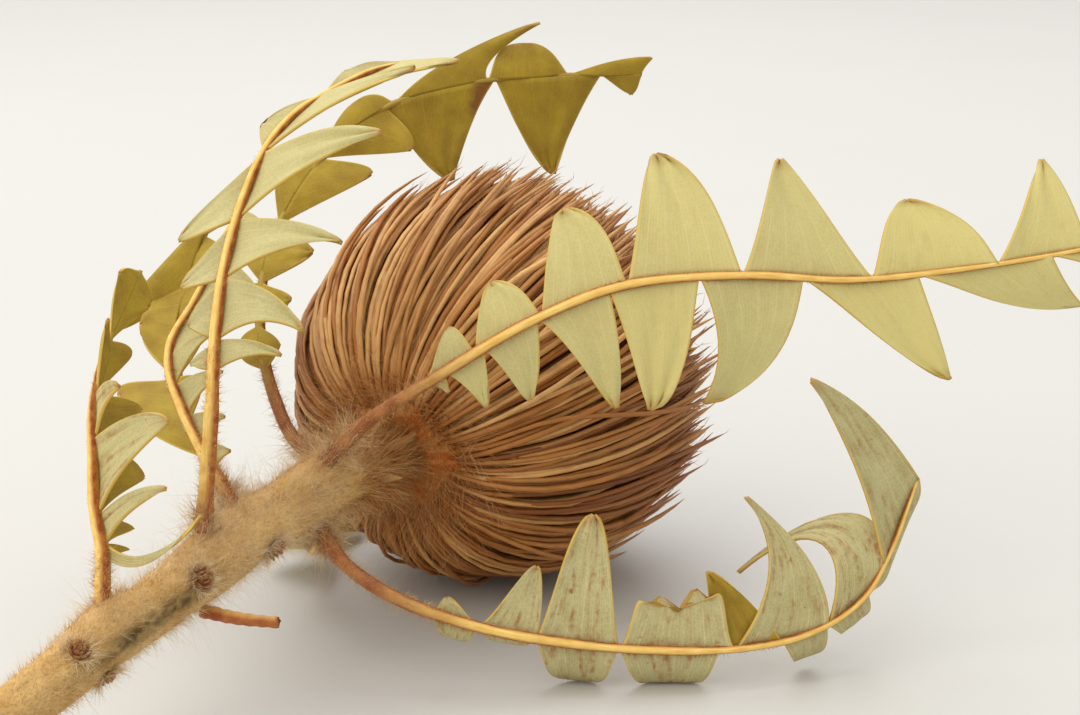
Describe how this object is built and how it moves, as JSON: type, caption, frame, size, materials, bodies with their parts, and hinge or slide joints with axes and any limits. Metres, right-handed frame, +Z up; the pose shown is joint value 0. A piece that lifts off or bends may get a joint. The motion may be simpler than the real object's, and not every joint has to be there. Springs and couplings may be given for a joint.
{
  "type": "dried banksia flower head on a leafy stem",
  "caption": "Dried banksia cone: a ball of swept brown florets on a woolly cut stem with long saw-lobed leathery leaves, lying on its side for display.",
  "frame": {"origin": "the flattened spot under the flower head, on the surface that the part lies on", "axes": "+Z up from that surface; +X along the long leaf that crosses in front of the head; +Y from the cut end of the stem towards the head"},
  "size_m": [0.2213, 0.2405, 0.1077],
  "materials": {
    "stem": "matte",
    "florets": "matte",
    "leaf": "matte"
  },
  "bodies": {
    "root": {"stem": "stem", "flower_head": "florets", "leaf_right": "leaf", "leaf_floor": "leaf", "leaf_tall": "leaf", "leaf_wrap": "leaf", "leaf_bent": "leaf", "leaf_shade": "leaf", "leaf_near": "leaf", "leaf_under": "leaf"}
  },
  "joints": []
}
